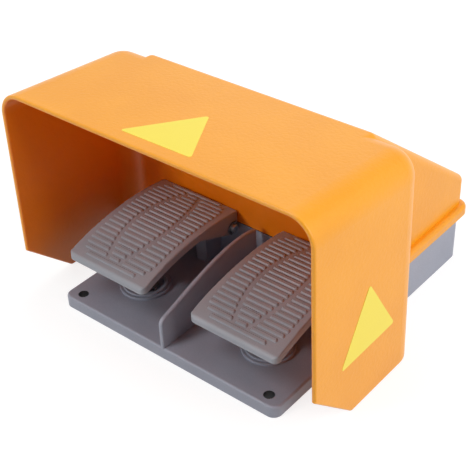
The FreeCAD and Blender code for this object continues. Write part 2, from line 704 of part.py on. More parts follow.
def tread_bar(y, x0, x1):
    """One raised bar, drafted all round and square to the crown, its foot sunk into the plate."""
    slope = BAR_DRAFT / BAR_HEIGHT
    foot = bar_outline(x0, x1, -BAR_SUNK * slope, -BAR_SUNK)
    head = bar_outline(x0, x1, BAR_DRAFT, BAR_HEIGHT)
    faces = [Part.Face(polygon(foot)), Part.Face(polygon(head))]
    for k in range(len(foot)):
        faces.append(Part.Face(polygon([foot[k - 1], foot[k], head[k], head[k - 1]])))
    solid = Part.Solid(Part.Shell(faces))
    solid.rotate(V(0, 0, 0), V(1, 0, 0), -math.degrees(math.asin((y - CROWN_Y) / CROWN_R)))
    solid.translate(V(0, y, crown_z(y)))
    return solid


def tread_bars():
    """Raised bars across the pedal, split in three by two bowed gaps, in a rounded outline."""
    last = PEDAL_REAR_Y - BAR_REAR_MARGIN
    first = last - BAR_PITCH * (BAR_ROWS - 1)
    bars = []
    for row in range(BAR_ROWS):
        y = last - BAR_PITCH * (BAR_ROWS - 1 - row)
        bars += [tread_bar(y, x0, x1) for x0, x1 in bar_spans(row, y, first, last)]
    return bars


def pedal_tail():
    """Hub on the pin, leg down between the cheeks and arm back through the slot to its pad."""
    half = TAIL_WIDTH / 2
    leg_front = PIN_Y - TAIL_LEG / 2
    leg_rear = PIN_Y + TAIL_LEG / 2
    elbow = 4.0
    turn = elbow * (1 - math.sqrt(0.5))
    bend = (
        (leg_rear + elbow, TAIL_TOP_Z),
        (leg_rear + turn, TAIL_TOP_Z + turn),
        (leg_rear, TAIL_TOP_Z + elbow),
    )
    top = crown_z(PIN_Y, PEDAL_TOP_THICKNESS - 0.5)
    side = outline([
        ((leg_front, top), (leg_front, TAIL_Z + 3)),
        ((leg_front, TAIL_Z + 3), (leg_front + 3, TAIL_Z)),
        ((leg_front + 3, TAIL_Z), (ADJUSTER_Y, TAIL_Z)),
        ((ADJUSTER_Y, TAIL_Z), (ADJUSTER_Y, TAIL_TOP_Z)),
        ((ADJUSTER_Y, TAIL_TOP_Z), (leg_rear + elbow, TAIL_TOP_Z)),
        bend,
        ((leg_rear, TAIL_TOP_Z + elbow), (leg_rear, top)),
        ((leg_rear, top), (leg_front, top)),
    ])
    hub = bar(HUB_R, V(-half, PIN_Y, PIN_Z), V(half, PIN_Y, PIN_Z))
    pad = post(TAIL_PAD_R, 0, ADJUSTER_Y, TAIL_Z, TAIL_TOP_Z)
    return [across(side, -half, half), hub, pad]


def pedal():
    """One pedal casting: crowned plate, ribs, spring cup, ears, tail and raised bars."""
    parts = [pedal_shell()] + pedal_ribs() + pedal_tail()
    cup_top = crown_z(SPRING_Y, PEDAL_TOP_THICKNESS - 0.5)
    cup = post(CUP_R, 0, SPRING_Y, CUP_Z, cup_top)
    parts.append(cup)
    for hand in (-1, 1):
        outer = V(hand * (HALF_PEDAL - PEDAL_SIDE_THICKNESS / 2), PIN_Y, PIN_Z)
        inner = V(hand * (HALF_PEDAL - EAR_BOSS_LENGTH), PIN_Y, PIN_Z)
        parts.append(bar(EAR_R - EAR_BOSS_STEP, inner, outer))
    under = crown_z(SPRING_Y, PEDAL_TOP_THICKNESS)
    bore = PIN_R + PIN_RUNNING_CLEARANCE
    holes = [
        post(CUP_R - CUP_WALL, 0, SPRING_Y, CUP_Z - 1, under),
        bar(bore, V(-HALF_PEDAL - 1, PIN_Y, PIN_Z), V(HALF_PEDAL + 1, PIN_Y, PIN_Z)),
        post(ADJUSTER_R + THREAD_CLEARANCE, 0, ADJUSTER_Y, TAIL_Z - 1, TAIL_TOP_Z + 1),
    ]
    return fuse([cut_all(fuse(parts), holes)] + tread_bars())


def hinge_pin():
    """Steel pin through ears and cheeks, grooved for a circlip at each end."""
    reach = HALF_PEDAL + PIN_OVERHANG
    pin = bar(PIN_R, V(-reach, PIN_Y, PIN_Z), V(reach, PIN_Y, PIN_Z))
    ends = pick(pin, lambda b: b.XLength < 0.1)
    pin = pin.makeChamfer(0.4, ends)
    grooves = []
    for hand in (-1, 1):
        near = V(hand * (HALF_PEDAL + 0.4), PIN_Y, PIN_Z)
        far = near + V(hand * (CIRCLIP_THICKNESS + 0.1), 0, 0)
        ring = bar(PIN_R + 1, near, far).cut(bar(PIN_R - CIRCLIP_GROOVE_DEPTH, near, far))
        grooves.append(ring)
    return pin.cut(Part.makeCompound(grooves))


def circlips():
    """Spring-steel clips in the pin grooves, open at one side."""
    clips = []
    for _, side in SIDES:
        for hand in (-1, 1):
            x = side * PEDAL_X + hand * (HALF_PEDAL + 0.45)
            near = V(x, PIN_Y, PIN_Z)
            far = V(x + hand * CIRCLIP_THICKNESS, PIN_Y, PIN_Z)
            inner = PIN_R - CIRCLIP_GROOVE_DEPTH + 0.02
            clip = bar(CIRCLIP_R, near, far).cut(bar(inner, near, far))
            low, high = sorted((near.x, far.x))
            half_mouth = inner * 0.8
            mouth = box(low - 1, high + 1, PIN_Y - half_mouth, PIN_Y + half_mouth,
                        PIN_Z - CIRCLIP_R - 1, PIN_Z)
            clips.append(clip.cut(mouth))
    return Part.makeCompound(clips)


def coil_point(turn, low, high):
    """Centre of the spring wire after so many turns, closer wound at both ends."""
    end_rise = SPRING_END_PITCH
    middle_rise = (high - low - 2 * end_rise) / (SPRING_TURNS - 2)
    if turn < 1:
        z = low + end_rise * turn
    elif turn > SPRING_TURNS - 1:
        z = high - end_rise * (SPRING_TURNS - turn)
    else:
        z = low + end_rise + middle_rise * (turn - 1)
    angle = 2 * math.pi * turn
    return V(SPRING_MEAN_R * math.cos(angle), SPRING_Y + SPRING_MEAN_R * math.sin(angle), z)


def coil_heading(turn, low, high):
    step = 0.01
    before = coil_point(max(turn - step, 0), low, high)
    after = coil_point(min(turn + step, SPRING_TURNS), low, high)
    return (after - before).normalize()


def arc_from(start, apex, end):
    """Arc whose end tangents meet at apex."""
    middle = (start + end) * 0.5
    half_chord = (end - middle).Length
    height = (apex - middle).Length
    sagitta = half_chord * math.tan(math.atan2(height, half_chord) / 2)
    crest = middle + (apex - middle) * (sagitta / height)
    return Part.Arc(start, crest, end).toShape()


def biarc(start, heading, end, final):
    """Two arcs that leave start along heading and reach end along final."""
    span = end - start
    both = heading + final
    spread = 2 * (1 - heading.dot(final))
    along = span.dot(both)
    reach = (-along + math.sqrt(along * along + spread * span.dot(span))) / spread
    first_apex = start + heading * reach
    second_apex = end - final * reach
    joint = (first_apex + second_apex) * 0.5
    return [arc_from(start, first_apex, joint), arc_from(joint, second_apex, end)]


def return_spring():
    """Compression spring as one unbroken wire, its ends ground flat."""
    low = POCKET_Z + SPRING_WIRE_R - SPRING_GRIND
    high = crown_z(SPRING_Y, PEDAL_TOP_THICKNESS) - SPRING_WIRE_R + SPRING_GRIND
    edges = []
    for k in range(SPRING_TURNS * 2):
        here = k / 2
        there = (k + 1) / 2
        edges += biarc(coil_point(here, low, high), coil_heading(here, low, high),
                       coil_point(there, low, high), coil_heading(there, low, high))
    path = Part.Wire(edges)
    circle = Part.makeCircle(SPRING_WIRE_R, coil_point(0, low, high), coil_heading(0, low, high))
    section = Part.Wire([circle])
    wire = path.makePipeShell([section], True, False)
    print("spring gap between turns", round(least_coil_gap(low, high), 2), "mm")
    top = crown_z(SPRING_Y, PEDAL_TOP_THICKNESS)
    reach = SPRING_MEAN_R * 2
    keep = box(-reach, reach, SPRING_Y - reach, SPRING_Y + reach, POCKET_Z, top)
    return wire.common(keep)


def least_coil_gap(low, high):
    """Smallest clear distance between two turns of the wire, from points along it."""
    count = SPRING_TURNS * 48
    points = [coil_point(k / 48, low, high) for k in range(count + 1)]
    least = 1e9
    for i, here in enumerate(points):
        for there in points[i + 30:]:
            least = min(least, (there - here).Length)
    return least - 2 * SPRING_WIRE_R


def adjusting_screw():
    """Hexagon screw in the tail's pad, whose head meets the switch plunger."""
    head_z = TAIL_TOP_Z + LOCK_NUT_H
    head = hexagon(ADJUSTER_HEX, V(0, ADJUSTER_Y, head_z), V(0, ADJUSTER_Y, ADJUSTER_TOP_Z))
    return head.fuse(post(ADJUSTER_R, 0, ADJUSTER_Y, TAIL_Z - 2, head_z)).removeSplitter()


def lock_nut():
    top = TAIL_TOP_Z + LOCK_NUT_H
    nut = hexagon(ADJUSTER_HEX, V(0, ADJUSTER_Y, TAIL_TOP_Z), V(0, ADJUSTER_Y, top))
    return nut.cut(post(ADJUSTER_R + THREAD_CLEARANCE, 0, ADJUSTER_Y, TAIL_TOP_Z - 1, top + 1))


def rest_bumpers():
    """Rubber stops on the tray floor that the pedal tails come up from."""
    y = PIN_Y + BUMPER_REACH
    return Part.makeCompound(
        [post(BUMPER_R, side * PEDAL_X, y, TRAY_FLOOR, TAIL_Z - BUMPER_GAP) for _, side in SIDES])


def switch_body():
    """Moulded snap-action switch with a guide collar for its plunger."""
    half = SWITCH_LENGTH / 2
    front = ADJUSTER_Y - SWITCH_WIDTH / 2
    rear = ADJUSTER_Y + SWITCH_WIDTH / 2
    case = box(-half, half, front, rear, SWITCH_Z, SWITCH_Z + SWITCH_HEIGHT)
    case = case.makeFillet(1.5, pick(case, lambda b: b.YLength > SWITCH_WIDTH - 0.1))
    collar = post(SWITCH_COLLAR_R, 0, ADJUSTER_Y, COLLAR_Z, SWITCH_Z + 1)
    guide_top = PLUNGER_Z + 2 * PLUNGER_TRAVEL + PLUNGER_GUIDE + PLUNGER_SPARE * 2
    holes = [post(PLUNGER_R + PIN_RUNNING_CLEARANCE, 0, ADJUSTER_Y, COLLAR_Z - 1, guide_top)]
    z = SWITCH_Z + SWITCH_HOLE_Z
    for hand in (-1, 1):
        x = hand * SWITCH_HOLE_SPACING / 2
        holes.append(bar(SCREW_R + 0.1, V(x, front - 1, z), V(x, rear + 1, z)))
    z_top = SWITCH_Z + SWITCH_HEIGHT
    half_recess = TERMINAL_WIDTH / 2 + 1
    for k in (-1, 0, 1):
        x = k * TERMINAL_SPACING
        holes.append(box(x - half_recess, x + half_recess, front + 3, rear - 3, z_top - 2, z_top + 1))
    return cut_all(case.fuse(collar), holes)


def switch_plunger():
    """Round plunger with a domed tip, which slides up in the collar."""
    top = PLUNGER_Z + PLUNGER_TRAVEL + PLUNGER_GUIDE
    rod = post(PLUNGER_R, 0, ADJUSTER_Y, PLUNGER_Z, top)
    tip = pick(rod, lambda b: b.ZMax < PLUNGER_Z + 0.1)
    return rod.makeFillet(PLUNGER_R * 0.6, tip)


def switch_terminals():
    """Three brass tabs on each switch."""
    tabs = []
    for _, side in SIDES:
        for k in (-1, 0, 1):
            x = side * PEDAL_X + k * TERMINAL_SPACING
            z = SWITCH_Z + SWITCH_HEIGHT - 2
            tab = box(x - TERMINAL_WIDTH / 2, x + TERMINAL_WIDTH / 2, ADJUSTER_Y - TERMINAL_THICKNESS / 2,
                      ADJUSTER_Y + TERMINAL_THICKNESS / 2, z, z + TERMINAL_LENGTH)
            eye = bar(1.1, V(x, ADJUSTER_Y - 2, z + TERMINAL_LENGTH - 2.4),
                      V(x, ADJUSTER_Y + 2, z + TERMINAL_LENGTH - 2.4))
            tabs.append(tab.cut(eye))
    return Part.makeCompound(tabs)


def switch_bracket():
    """Bent steel angle: the switches on its upright, windows for the tails, its foot screwed down."""
    low = BOSS_Z
    high = SWITCH_Z + SWITCH_HEIGHT - 3
    front = BRACKET_Y
    rear = BRACKET_Y + BRACKET_FOOT
    t = BRACKET_THICKNESS
    side = polygon([V(0, front, high), V(0, front, low), V(0, rear, low),
                    V(0, rear, low + t), V(0, front + t, low + t), V(0, front + t, high)])
    angle = across(side, -BRACKET_HALF_WIDTH, BRACKET_HALF_WIDTH)
    outer = pick(angle, lambda b: b.XLength > 10 and b.YMax < front + 0.1 and b.ZMax < low + 0.1)
    angle = angle.makeFillet(BRACKET_BEND_R + t, outer)
    inside = V(0, front + t, low + t)
    inner = pick(angle, lambda b: b.XLength > 10 and (b.Center - inside).Length < 0.1)
    angle = angle.makeFillet(BRACKET_BEND_R, inner)
    holes = [box(-14, 14, front - 1, front + t + 1, SWITCH_Z - 8, high + 1)]
    z = SWITCH_Z + SWITCH_HOLE_Z
    half_window = TAIL_PAD_R + BRACKET_WINDOW_GAP
    for _, side_sign in SIDES:
        middle = side_sign * PEDAL_X
        sill = TAIL_Z - BRACKET_WINDOW_GAP
        holes.append(box(middle - half_window, middle + half_window,
                         front - 1, front + t + 1, sill, COLLAR_Z))
        for hand in (-1, 1):
            x = middle + hand * SWITCH_HOLE_SPACING / 2
            holes.append(bar(SCREW_R + 0.1, V(x, front - 1, z), V(x, front + t + 1, z)))
        holes.append(post(SCREW_R + 0.1, side_sign * BRACKET_SCREW_X, BRACKET_SCREW_Y, low - 1, low + t + 1))
    return cut_all(angle, holes)


def pan_screw(head, tip):
    """Pan-head screw whose head sits under the first point and whose shank ends at the second."""
    axis = (tip - head).normalize()
    cap = bar(SCREW_HEAD_R, head - axis * SCREW_HEAD_H, head)
    rim = pick(cap, lambda b: (b.Center - head).dot(axis) < -SCREW_HEAD_H * 0.9)
    cap = cap.makeFillet(SCREW_HEAD_H * 0.5, rim)
    return cap.fuse(bar(SCREW_R, head - axis * 0.5, tip)).removeSplitter()


def switch_screws():
    """Four screws through the switches and the bracket."""
    screws = []
    z = SWITCH_Z + SWITCH_HOLE_Z
    for _, side in SIDES:
        for hand in (-1, 1):
            x = side * PEDAL_X + hand * SWITCH_HOLE_SPACING / 2
            head = V(x, ADJUSTER_Y - SWITCH_WIDTH / 2, z)
            screws.append(pan_screw(head, V(x, BRACKET_Y + BRACKET_THICKNESS + NUT_H + 1, z)))
    return Part.makeCompound(screws)


def switch_nuts():
    nuts = []
    z = SWITCH_Z + SWITCH_HOLE_Z
    back = BRACKET_Y + BRACKET_THICKNESS
    for _, side in SIDES:
        for hand in (-1, 1):
            x = side * PEDAL_X + hand * SWITCH_HOLE_SPACING / 2
            nut = hexagon(NUT_HEX, V(x, back, z), V(x, back + NUT_H, z))
            bore = bar(SCREW_R + THREAD_CLEARANCE, V(x, back - 1, z), V(x, back + NUT_H + 1, z))
            nuts.append(nut.cut(bore))
    return Part.makeCompound(nuts)


def floor_screws():
    """Four pan-head screws in the tray: two for the bracket, two for the terminal block."""
    screws = []
    for _, side in SIDES:
        bracket_top = BOSS_Z + BRACKET_THICKNESS
        x = side * BRACKET_SCREW_X
        screws.append(pan_screw(V(x, BRACKET_SCREW_Y, bracket_top), V(x, BRACKET_SCREW_Y, 2)))
        x = side * (BLOCK_LENGTH / 2 - 4)
        ear_top = BOSS_Z + 3
        screws.append(pan_screw(V(x, BLOCK_Y, ear_top), V(x, BLOCK_Y, 2)))
    return Part.makeCompound(screws)


def terminal_block():
    """Moulded six-way block with wire holes through it and a fixing ear at each end."""
    half_width = BLOCK_WIDTH / 2
    half = BLOCK_WAYS * BLOCK_WAY_PITCH / 2
    body = box(-half, half, BLOCK_Y - half_width, BLOCK_Y + half_width, BOSS_Z, BOSS_Z + BLOCK_HEIGHT)
    ears = box(-BLOCK_LENGTH / 2, BLOCK_LENGTH / 2, BLOCK_Y - 4, BLOCK_Y + 4, BOSS_Z, BOSS_Z + 3)
    holes = []
    top = BOSS_Z + BLOCK_HEIGHT + 1
    for _, side in SIDES:
        x = side * (BLOCK_LENGTH / 2 - 4)
        holes.append(post(SCREW_R + 0.1, x, BLOCK_Y, BOSS_Z - 1, BOSS_Z + 4))
        holes.append(post(SCREW_HEAD_R + 0.3, x, BLOCK_Y, BOSS_Z + 3, top))
    for k in range(BLOCK_WAYS):
        x = -half + BLOCK_WAY_PITCH * (k + 0.5)
        z = BOSS_Z + BLOCK_HEIGHT * 0.4
        holes.append(bar(WIRE_HOLE_R, V(x, BLOCK_Y - half_width - 1, z), V(x, BLOCK_Y + half_width + 1, z)))
        holes.append(post(CLAMP_SCREW_R + 0.2, x, BLOCK_Y, z, top))
    return cut_all(body.fuse(ears), holes)


def clamp_screws():
    """Slotted screws in the terminal block, one for each way."""
    screws = []
    half = BLOCK_WAYS * BLOCK_WAY_PITCH / 2
    for k in range(BLOCK_WAYS):
        x = -half + BLOCK_WAY_PITCH * (k + 0.5)
        low = BOSS_Z + BLOCK_HEIGHT * 0.55
        high = BOSS_Z + BLOCK_HEIGHT - 1.5
        screw = post(CLAMP_SCREW_R + 0.15, x, BLOCK_Y, low, high)
        screws.append(screw.cut(box(x - 3, x + 3, BLOCK_Y - 0.4, BLOCK_Y + 0.4, high - 0.9, high + 1)))
    return Part.makeCompound(screws)


def earth_washer():
    low = BOSS_Z
    ring = post(SCREW_HEAD_R + 1.2, EARTH_X, EARTH_Y, low, low + EARTH_WASHER_H)
    return ring.cut(post(SCREW_R + 0.1, EARTH_X, EARTH_Y, low - 1, low + 2))


def earth_screw():
    return pan_screw(V(EARTH_X, EARTH_Y, BOSS_Z + EARTH_WASHER_H), V(EARTH_X, EARTH_Y, 2))


def along_gland(radius, y0, y1):
    return bar(radius, V(0, y0, GLAND_Z), V(0, y1, GLAND_Z))


def gland_body():
    """Nylon gland body: threaded stub through the wall, hexagon, and a neck for the nut."""
    hexagon_part = hexagon(GLAND_HEX, V(0, GLAND_FACE_Y, GLAND_Z), V(0, GLAND_NECK_Y, GLAND_Z))
    stub = along_gland(GLAND_THREAD_R, GLAND_FACE_Y - GLAND_STUB, GLAND_FACE_Y + 1)
    neck = along_gland(GLAND_NECK_R, GLAND_NECK_Y - 1, GLAND_NECK_Y + GLAND_NECK)
    start = GLAND_FACE_Y - GLAND_STUB - 1
    bore = along_gland(GLAND_NECK_R - GLAND_WALL, start, GLAND_NECK_Y + GLAND_NECK + 1)
    return cut_all(fuse([hexagon_part, stub, neck]), [bore])


def gland_seal():
    """Rubber sleeve that the nut squeezes onto the cable."""
    outer = GLAND_NECK_R - GLAND_WALL - 0.05
    sleeve = along_gland(outer, GLAND_NECK_Y, GLAND_NECK_Y + GLAND_NECK + 1.5)
    return sleeve.cut(along_gland(SEAL_BORE_R, GLAND_NECK_Y - 1, GLAND_NECK_Y + GLAND_NECK + 3))


def gland_nut():
    """Domed nut on the gland's neck."""
    start = GLAND_NECK_Y + 1.0
    body = hexagon(GLAND_HEX - 1, V(0, start, GLAND_Z), V(0, GLAND_END_Y - 3, GLAND_Z))
    foot = V(0, GLAND_END_Y - 3.5, GLAND_Z)
    dome = Part.makeCone(GLAND_HEX / 2 - 0.5, GLAND_NECK_R - 1, 3.5, foot, V(0, 1, 0))
    thread = along_gland(GLAND_NECK_R + THREAD_CLEARANCE, start - 1, GLAND_NECK_Y + GLAND_NECK + 1.6)
    bore = along_gland(GLAND_NECK_R - GLAND_WALL - 0.4, start - 1, GLAND_END_Y + 1)
    return cut_all(body.fuse(dome), [thread, bore])


def gland_locknut():
    rear = TRAY_REAR_Y - TRAY_WALL
    nut = hexagon(GLAND_HEX, V(0, rear - GLAND_LOCKNUT_H, GLAND_Z), V(0, rear, GLAND_Z))
    return nut.cut(along_gland(GLAND_THREAD_R + THREAD_CLEARANCE, rear - GLAND_LOCKNUT_H - 1, rear + 1))


def build():
    os.makedirs("parts", exist_ok=True)
    save("base_casting", base_casting())
    save("guard_cover", guard_cover())
    save("cover_gasket", cover_gasket())
    save("lip_seal", lip_seal())
    save("cover_screws", cover_screws())
    per_pedal = {
        "pedal": pedal(),
        "hinge_pin": hinge_pin(),
        "return_spring": return_spring(),
        "adjusting_screw": adjusting_screw(),
        "lock_nut": lock_nut(),
        "switch_body": switch_body(),
        "switch_plunger": switch_plunger(),
    }
    for hand, side in SIDES:
        for name, shape in per_pedal.items():
            save(hand + "_" + name, at_pedal(shape, side))
    save("circlips", circlips())
    save("rest_bumpers", rest_bumpers())
    save("switch_terminals", switch_terminals())
    save("switch_bracket", switch_bracket())
    save("switch_screws", switch_screws())
    save("switch_nuts", switch_nuts())
    save("floor_screws", floor_screws())
    save("terminal_block", terminal_block())
    save("clamp_screws", clamp_screws())
    save("earth_washer", earth_washer())
    save("earth_screw", earth_screw())
    save("gland_body", gland_body())
    save("gland_seal", gland_seal())
    save("gland_nut", gland_nut())
    save("gland_locknut", gland_locknut())


build()
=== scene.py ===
import json
import math

import bpy
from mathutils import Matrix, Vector


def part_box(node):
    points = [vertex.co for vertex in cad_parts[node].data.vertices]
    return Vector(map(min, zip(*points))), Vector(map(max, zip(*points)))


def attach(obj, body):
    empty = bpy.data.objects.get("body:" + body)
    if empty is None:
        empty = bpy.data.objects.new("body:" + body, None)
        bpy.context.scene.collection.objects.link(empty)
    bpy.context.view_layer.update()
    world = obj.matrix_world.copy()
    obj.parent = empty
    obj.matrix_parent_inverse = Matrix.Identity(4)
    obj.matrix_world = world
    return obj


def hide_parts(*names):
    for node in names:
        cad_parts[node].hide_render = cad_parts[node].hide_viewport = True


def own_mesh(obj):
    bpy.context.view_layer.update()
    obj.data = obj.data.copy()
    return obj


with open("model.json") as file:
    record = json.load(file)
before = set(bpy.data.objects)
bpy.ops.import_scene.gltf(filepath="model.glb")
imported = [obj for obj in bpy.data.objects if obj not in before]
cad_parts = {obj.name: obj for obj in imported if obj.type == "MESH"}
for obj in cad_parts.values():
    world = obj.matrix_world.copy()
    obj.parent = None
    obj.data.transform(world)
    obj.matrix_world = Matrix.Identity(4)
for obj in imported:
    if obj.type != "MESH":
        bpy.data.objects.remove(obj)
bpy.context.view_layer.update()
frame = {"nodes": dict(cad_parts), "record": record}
nodes = frame["nodes"]
MM = 0.001

# Base casting
# One aluminium casting: pedal plate, divider rib, spring rings and the walled tray behind them.
# Shot-blasted and stoved in a grey textured powder coat, so it looks satin and slightly grainy.
# The walls of its two drilled bolt holes are painted near black, a painted shade for the deep shadow in
# such narrow holes.
CLOUDS_PER_METRE = 28.0
TONE_LOW = 0.75
TONE_HIGH = 1.25
HOLE_TOLERANCE_MM = 0.05


def linear(code):
    """An sRGB hex colour such as #8a8990, as linear values for a shader."""
    levels = [int(code[i:i + 2], 16) / 255 for i in (1, 3, 5)]
    return [c / 12.92 if c <= 0.04045 else ((c + 0.055) / 1.055) ** 2.4 for c in levels] + [1.0]


def add_node(tree, kind, inputs=None, **settings):
    """One node with its settings; an input takes a plain value or another node's output."""
    node = tree.nodes.new(kind)
    for name, value in settings.items():
        setattr(node, name, value)
    for name, value in (inputs or {}).items():
        socket = node.inputs[name]
        if isinstance(value, bpy.types.NodeSocket):
            tree.links.new(value, socket)
        else:
            socket.default_value = value
    return node


def blend_colours(tree, share, first, second):
    """Output of a node that mixes two linear colours, or outputs, by a share from 0 to 1."""
    # Places 0, 6 and 7 are a colour mix's factor and its two colours, and output 2 is the mixed one.
    return add_node(tree, "ShaderNodeMix", {0: share, 6: first, 7: second}, data_type="RGBA").outputs[2]


def new_material(name):
    """An empty node material and its tree."""
    material = bpy.data.materials.new(name)
    material.use_nodes = True
    material.node_tree.nodes.clear()
    return material, material.node_tree


def powder_coat(name, low, high, roughness, peel_mm, peel_depth_mm, grit_mm, grit_depth_mm):
    """Stoved powder coat: a soft orange-peel ripple, a fine grit and a faintly uneven colour."""
    # Real grit is about 0.2 mm across, too fine to show, so it is drawn at 0.5 to 0.6 mm.
    material, tree = new_material(name)
    place = add_node(tree, "ShaderNodeTexCoord").outputs["Object"]
    peel = add_node(tree, "ShaderNodeTexNoise", {
        "Vector": place, "Scale": 1 / (peel_mm * MM), "Detail": 1.5}).outputs["Fac"]
    grit = add_node(tree, "ShaderNodeTexNoise", {
        "Vector": place, "Scale": 1 / (grit_mm * MM), "Detail": 2.0}).outputs["Fac"]
    cloud = add_node(tree, "ShaderNodeTexNoise", {
        "Vector": place, "Scale": CLOUDS_PER_METRE, "Detail": 3.0}).outputs["Fac"]
    tone = add_node(tree, "ShaderNodeMath", {0: cloud, 1: grit}, operation="ADD")
    shade = add_node(tree, "ShaderNodeMapRange", {
        "Value": tone.outputs[0], "From Min": TONE_LOW, "From Max": TONE_HIGH})
    ripple = add_node(tree, "ShaderNodeBump", {
        "Height": peel, "Distance": peel_depth_mm * MM, "Strength": 1.0})
    rough = add_node(tree, "ShaderNodeBump", {
        "Height": grit, "Distance": grit_depth_mm * MM, "Strength": 1.0,
        "Normal": ripple.outputs["Normal"]})
    shader = add_node(tree, "ShaderNodeBsdfPrincipled", {
        "Base Color": blend_colours(tree, shade.outputs["Result"], linear(low), linear(high)),
        "Roughness": roughness, "IOR": 1.5, "Normal": rough.outputs["Normal"]})
    add_node(tree, "ShaderNodeOutputMaterial", {"Surface": shader.outputs["BSDF"]})
    return material


def recolour(material, share, colour):
    """Gives a coat another hex colour where the share is 1, used here for painted shade and painted bounce
    light.
    """
    tree = material.node_tree
    base = tree.nodes["Principled BSDF"].inputs["Base Color"]
    mixed = blend_colours(tree, share, base.links[0].from_socket, linear(colour))
    tree.links.new(mixed, base)


def painted_shade_in_bolt_holes(tree, mount):
    """1 on the walls of the two bolt holes, where the painted shade goes, 0 on all other faces."""
    dims = mount["dims"]
    there = add_node(tree, "ShaderNodeTexCoord").outputs["Object"]
    here = add_node(tree, "ShaderNodeSeparateXYZ", {0: there}).outputs
    aside = add_node(tree, "ShaderNodeMath", {0: here["X"]}, operation="ABSOLUTE").outputs[0]
    across = add_node(tree, "ShaderNodeMath", {0: aside, 1: dims["spacing_x_mm"] / 2 * MM},
                      operation="SUBTRACT").outputs[0]
    along = add_node(tree, "ShaderNodeMath", {0: here["Y"], 1: mount["pos_m"][1]},
                     operation="SUBTRACT").outputs[0]
    spread = add_node(tree, "ShaderNodeCombineXYZ", {"X": across, "Y": along}).outputs[0]
    distance = add_node(tree, "ShaderNodeVectorMath", {0: spread}, operation="LENGTH").outputs["Value"]
    reach = (dims["hole_r_mm"] + HOLE_TOLERANCE_MM) * MM
    return add_node(tree, "ShaderNodeMath", {0: distance, 1: reach}, operation="LESS_THAN").outputs[0]


def dress(name, material):
    """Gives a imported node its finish."""
    nodes[name].data.materials.clear()
    nodes[name].data.materials.append(material)


grey_coat = powder_coat("grey_powder_coat_on_casting", "#9699a7", "#a0a3b1", roughness=0.46,
                        peel_mm=1.6, peel_depth_mm=0.05, grit_mm=0.55, grit_depth_mm=0.03)
bolts = next(mount for mount in frame["record"]["mounts"] if mount["name"] == "front_bolts")
# The bolt holes' walls get a near-black painted shade.
recolour(grey_coat, painted_shade_in_bolt_holes(grey_coat.node_tree, bolts), "#1c1c1f")
dress("base_casting", grey_coat)

# Return springs
# Compression springs of 2 mm spring steel, coiled and ground flat, oiled and slightly dark.
# Each stands in its ring on the plate and pushes up inside the pedal's cup.
SPRING_WIRE_R = 1.0 * MM
SPRING_TURNS = 6
SPRING_END_PITCH = 2.6 * MM
RINGS_PER_TURN = 40
WIRE_SIDES = 12
GLOSS_SPREAD = 0.08
STREAK_DEPTH = 0.01 * MM


def bare_metal(name, low, high, roughness, streak_mm):
    """Bare or plated metal with fine uneven streaks from drawing, turning or plating."""
    # Real streaks are a tenth of a millimetre wide, too fine to show, so they are drawn at about 1 mm.
    material, tree = new_material(name)
    place = add_node(tree, "ShaderNodeTexCoord").outputs["Object"]
    streaks = add_node(tree, "ShaderNodeTexNoise", {
        "Vector": place, "Scale": 1 / (streak_mm * MM), "Detail": 4.0}).outputs["Fac"]
    gloss = add_node(tree, "ShaderNodeMapRange", {
        "Value": streaks, "To Min": roughness - GLOSS_SPREAD, "To Max": roughness + GLOSS_SPREAD})
    bump = add_node(tree, "ShaderNodeBump", {"Height": streaks, "Distance": STREAK_DEPTH})
    shader = add_node(tree, "ShaderNodeBsdfPrincipled", {
        "Base Color": blend_colours(tree, streaks, linear(low), linear(high)), "Metallic": 1.0,
        "Roughness": gloss.outputs["Result"], "Normal": bump.outputs["Normal"]})
    add_node(tree, "ShaderNodeOutputMaterial", {"Surface": shader.outputs["BSDF"]})
    return material


def mesh_piece(name, verts, faces, material, smooth=True):
    """A piece from points and faces in the row frame, its object at the origin."""
    mesh = bpy.data.meshes.new(name)
    mesh.from_pydata(verts, [], faces)
    mesh.materials.append(material)
    if smooth:
        mesh.shade_smooth()
    else:
        mesh.shade_flat()
    piece = bpy.data.objects.new(name, mesh)
    bpy.context.scene.collection.objects.link(piece)
    return piece


def tube(path, radius, sides):
    """Points and faces of a closed round tube along a path, its rings square to the path."""
    verts = []
    faces = []
    for k, point in enumerate(path):
        ahead = (path[min(k + 1, len(path) - 1)] - path[max(k - 1, 0)]).normalized()
        across = ahead.cross(Vector((0, 0, 1))).normalized()
        up = across.cross(ahead)
        for side in range(sides):
            turn = 2 * math.pi * side / sides
            verts.append(point + (across * math.cos(turn) + up * math.sin(turn)) * radius)
    for k in range(len(path) - 1):
        for side in range(sides):
            a = k * sides + side
            b = k * sides + (side + 1) % sides
            faces.append((a, a + sides, b + sides, b))
    faces.append(tuple(range(sides)))
    faces.append(tuple(reversed(range(len(verts) - sides, len(verts)))))
    return verts, faces


def coil_path(low, high):
    """Centre line of a spring whose end turns are wound close."""
    middle = (low + high) / 2
    radius = (high.x - low.x) / 2 - SPRING_WIRE_R
    bottom = low.z + SPRING_WIRE_R
    top = high.z - SPRING_WIRE_R
    open_pitch = (top - bottom - 2 * SPRING_END_PITCH) / (SPRING_TURNS - 2)
    path = []
    for k in range(SPRING_TURNS * RINGS_PER_TURN + 1):
        turn = k / RINGS_PER_TURN
        rise = SPRING_END_PITCH * min(turn, 1)
        rise += open_pitch * min(max(turn - 1, 0), SPRING_TURNS - 2)
        rise += SPRING_END_PITCH * max(turn - SPRING_TURNS + 1, 0)
        angle = 2 * math.pi * turn
        x = middle.x + radius * math.cos(angle)
        y = middle.y + radius * math.sin(angle)
        path.append(Vector((x, y, bottom + rise)))
    return path


